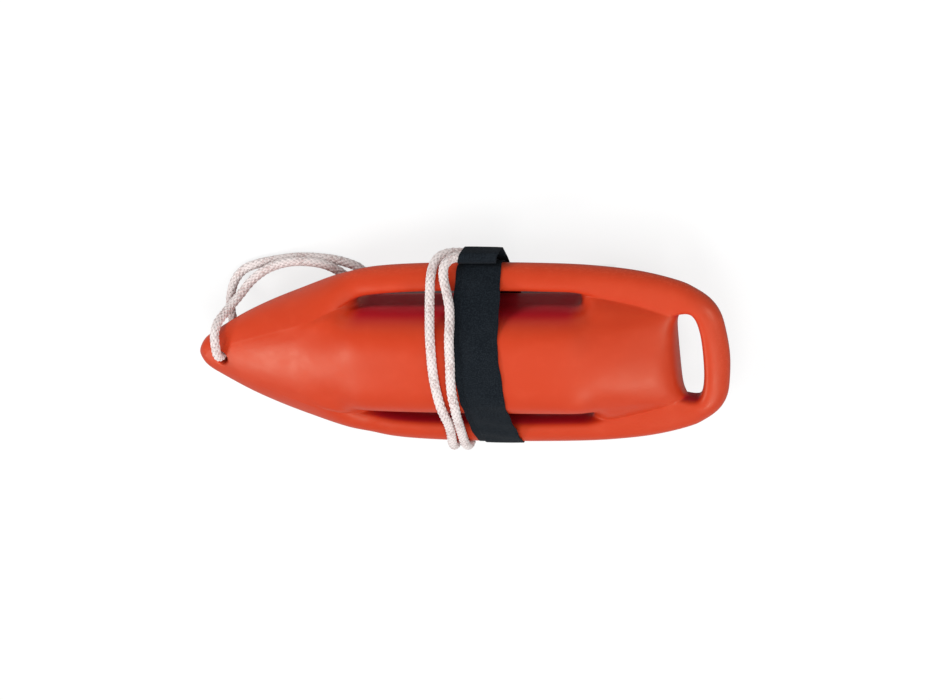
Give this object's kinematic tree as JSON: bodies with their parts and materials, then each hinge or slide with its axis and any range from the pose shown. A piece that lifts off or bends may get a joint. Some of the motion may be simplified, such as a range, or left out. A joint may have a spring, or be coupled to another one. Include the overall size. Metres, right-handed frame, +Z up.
{
  "type": "rescue buoy",
  "caption": "Torpedo-shaped hollow plastic rescue float with side finger slots, rear grip slot, doubled tow line and wide shoulder strap wound round it.",
  "frame": {"origin": "middle of the strap's flat underside, on which the buoy rests", "axes": "+X from the nose to the rear grip, +Y across the float to the side where the strap ends, +Z up"},
  "size_m": [0.72, 0.2871, 0.1564],
  "materials": {
    "float_orange": "satin moulded polyethylene",
    "insert_black": "moulded",
    "ring_black": "matte",
    "plug_grey": "moulded",
    "webbing_black": "woven webbing",
    "sleeve_black": "matte",
    "rope_white": "braided"
  },
  "bodies": {
    "float": {"hull_shell": "float_orange", "vent_insert": "insert_black", "shoulder_strap": "webbing_black", "line_sleeve": "sleeve_black", "tow_line": "rope_white"},
    "seal": {"vent_ring": "ring_black"},
    "plug": {"vent_plug": "plug_grey"}
  },
  "joints": [
    {"name": "plug_lift", "type": "slide", "parent": "float", "child": "seal", "axis": [0, 0, -1], "range_m": [0, 0.012]},
    {"name": "plug_turn", "type": "hinge", "parent": "seal", "child": "plug", "pos_m": [0.0905, 0, 0.0057], "axis": [0, 0, -1], "range_deg": [0, 2880]}
  ],
  "couplings": [
    {"joint": "plug_turn", "follows": "plug_lift", "rad_per_m": 4188.8}
  ]
}
